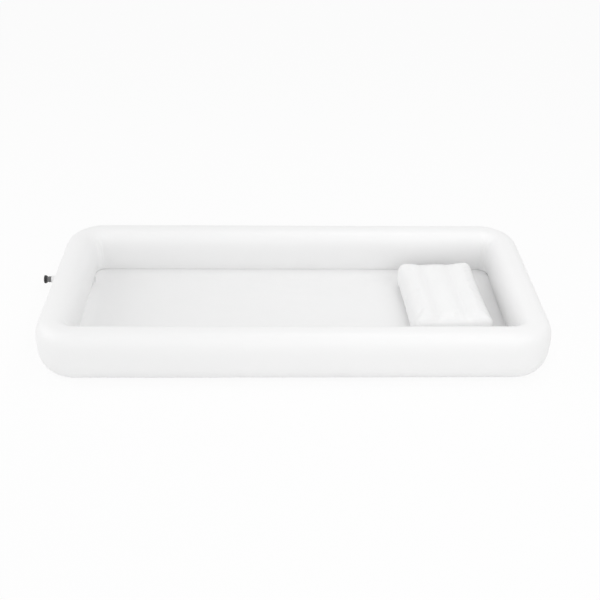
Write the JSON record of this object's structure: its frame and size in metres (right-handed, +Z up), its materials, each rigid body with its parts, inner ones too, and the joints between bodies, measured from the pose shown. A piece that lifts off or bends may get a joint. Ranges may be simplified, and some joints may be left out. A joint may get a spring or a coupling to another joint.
{
  "type": "inflatable bathtub",
  "caption": "White inflatable lay-flat bathtub: air ring with a welded film floor, a screw-capped drain, an air valve and a loose lobed air pillow.",
  "frame": {"origin": "bottom centre of the air ring, on the underside of the floor film", "axes": "+X along the tub from the drain end to the pillow end, +Y across it to the side with the air valve, +Z up"},
  "size_m": [2.0331, 0.9127, 0.2],
  "materials": {
    "white_film": "satin",
    "floor_film": "satin",
    "pillow_film": "satin",
    "white_plastic": "satin",
    "grey_plastic": "satin",
    "black_plastic": "satin",
    "black_rubber": "matte",
    "clear_vinyl": "satin"
  },
  "bodies": {
    "tub": {"side_ring": "white_film", "floor_sheet": "floor_film", "drain_sleeve": "white_film", "drain_outer_patch": "white_film", "drain_inner_patch": "white_film", "drain_neck": "grey_plastic", "inflation_patch": "white_film", "inflation_base": "white_plastic"},
    "drain_seal": {"drain_gasket": "black_rubber"},
    "drain_cap": {"drain_cap": "black_plastic"},
    "valve_seal": {"inflation_seal": "black_rubber"},
    "valve_insert": {"inflation_body": "white_plastic", "inflation_strap": "white_plastic"},
    "valve_stopper": {"inflation_cap": "white_plastic"},
    "valve_flap": {"inflation_flap": "clear_vinyl"},
    "pillow": {"pillow_cushion": "pillow_film", "pillow_stem": "clear_vinyl", "pillow_strap": "clear_vinyl"},
    "pillow_plug": {"pillow_plug": "clear_vinyl"},
    "pillow_flap": {"pillow_flap": "clear_vinyl"}
  },
  "joints": [
    {"name": "drain_cap_travel", "type": "slide", "parent": "tub", "child": "drain_seal", "axis": [-1, 0, 0], "range_m": [0, 0.007]},
    {"name": "drain_cap_turn", "type": "hinge", "parent": "drain_seal", "child": "drain_cap", "pos_m": [-0.975, 0.209, 0.045], "axis": [-1, 0, 0], "range_deg": [0, 720]},
    {"name": "valve_insert_travel", "type": "slide", "parent": "tub", "child": "valve_seal", "axis": [0, 1, 0], "range_m": [0, 0.015]},
    {"name": "valve_insert_turn", "type": "hinge", "parent": "valve_seal", "child": "valve_insert", "pos_m": [0.6, 0.45, 0.1], "axis": [0, 1, 0], "range_deg": [0, 1080]},
    {"name": "valve_stopper_hinge", "type": "hinge", "parent": "valve_insert", "child": "valve_stopper", "pos_m": [0.6, 0.46, 0.1253], "axis": [1, 0, 0], "range_deg": [0, 150]},
    {"name": "valve_flap_hinge", "type": "hinge", "parent": "valve_insert", "child": "valve_flap", "pos_m": [0.6, 0.4302, 0.112], "axis": [-1, 0, 0], "range_deg": [0, 35], "stiffness_Nm_per_rad": 0.00002},
    {"name": "pillow_lift", "type": "slide", "parent": "tub", "child": "pillow", "axis": [0, 0, 1], "range_m": [0, 0.35]},
    {"name": "pillow_plug_hinge", "type": "hinge", "parent": "pillow", "child": "pillow_plug", "pos_m": [0.60605, 0.26776, 0.0609], "axis": [0.999, 0.0436, 0], "range_deg": [0, 120]},
    {"name": "pillow_flap_hinge", "type": "hinge", "parent": "pillow", "child": "pillow_flap", "pos_m": [0.60729, 0.23949, 0.05695], "axis": [-0.999, -0.0436, 0], "range_deg": [0, 30], "stiffness_Nm_per_rad": 0.0000005}
  ],
  "couplings": [
    {"joint": "drain_cap_travel", "follows": "drain_cap_turn", "m_per_rad": 0.000557},
    {"joint": "valve_insert_travel", "follows": "valve_insert_turn", "m_per_rad": 0.0007957}
  ]
}
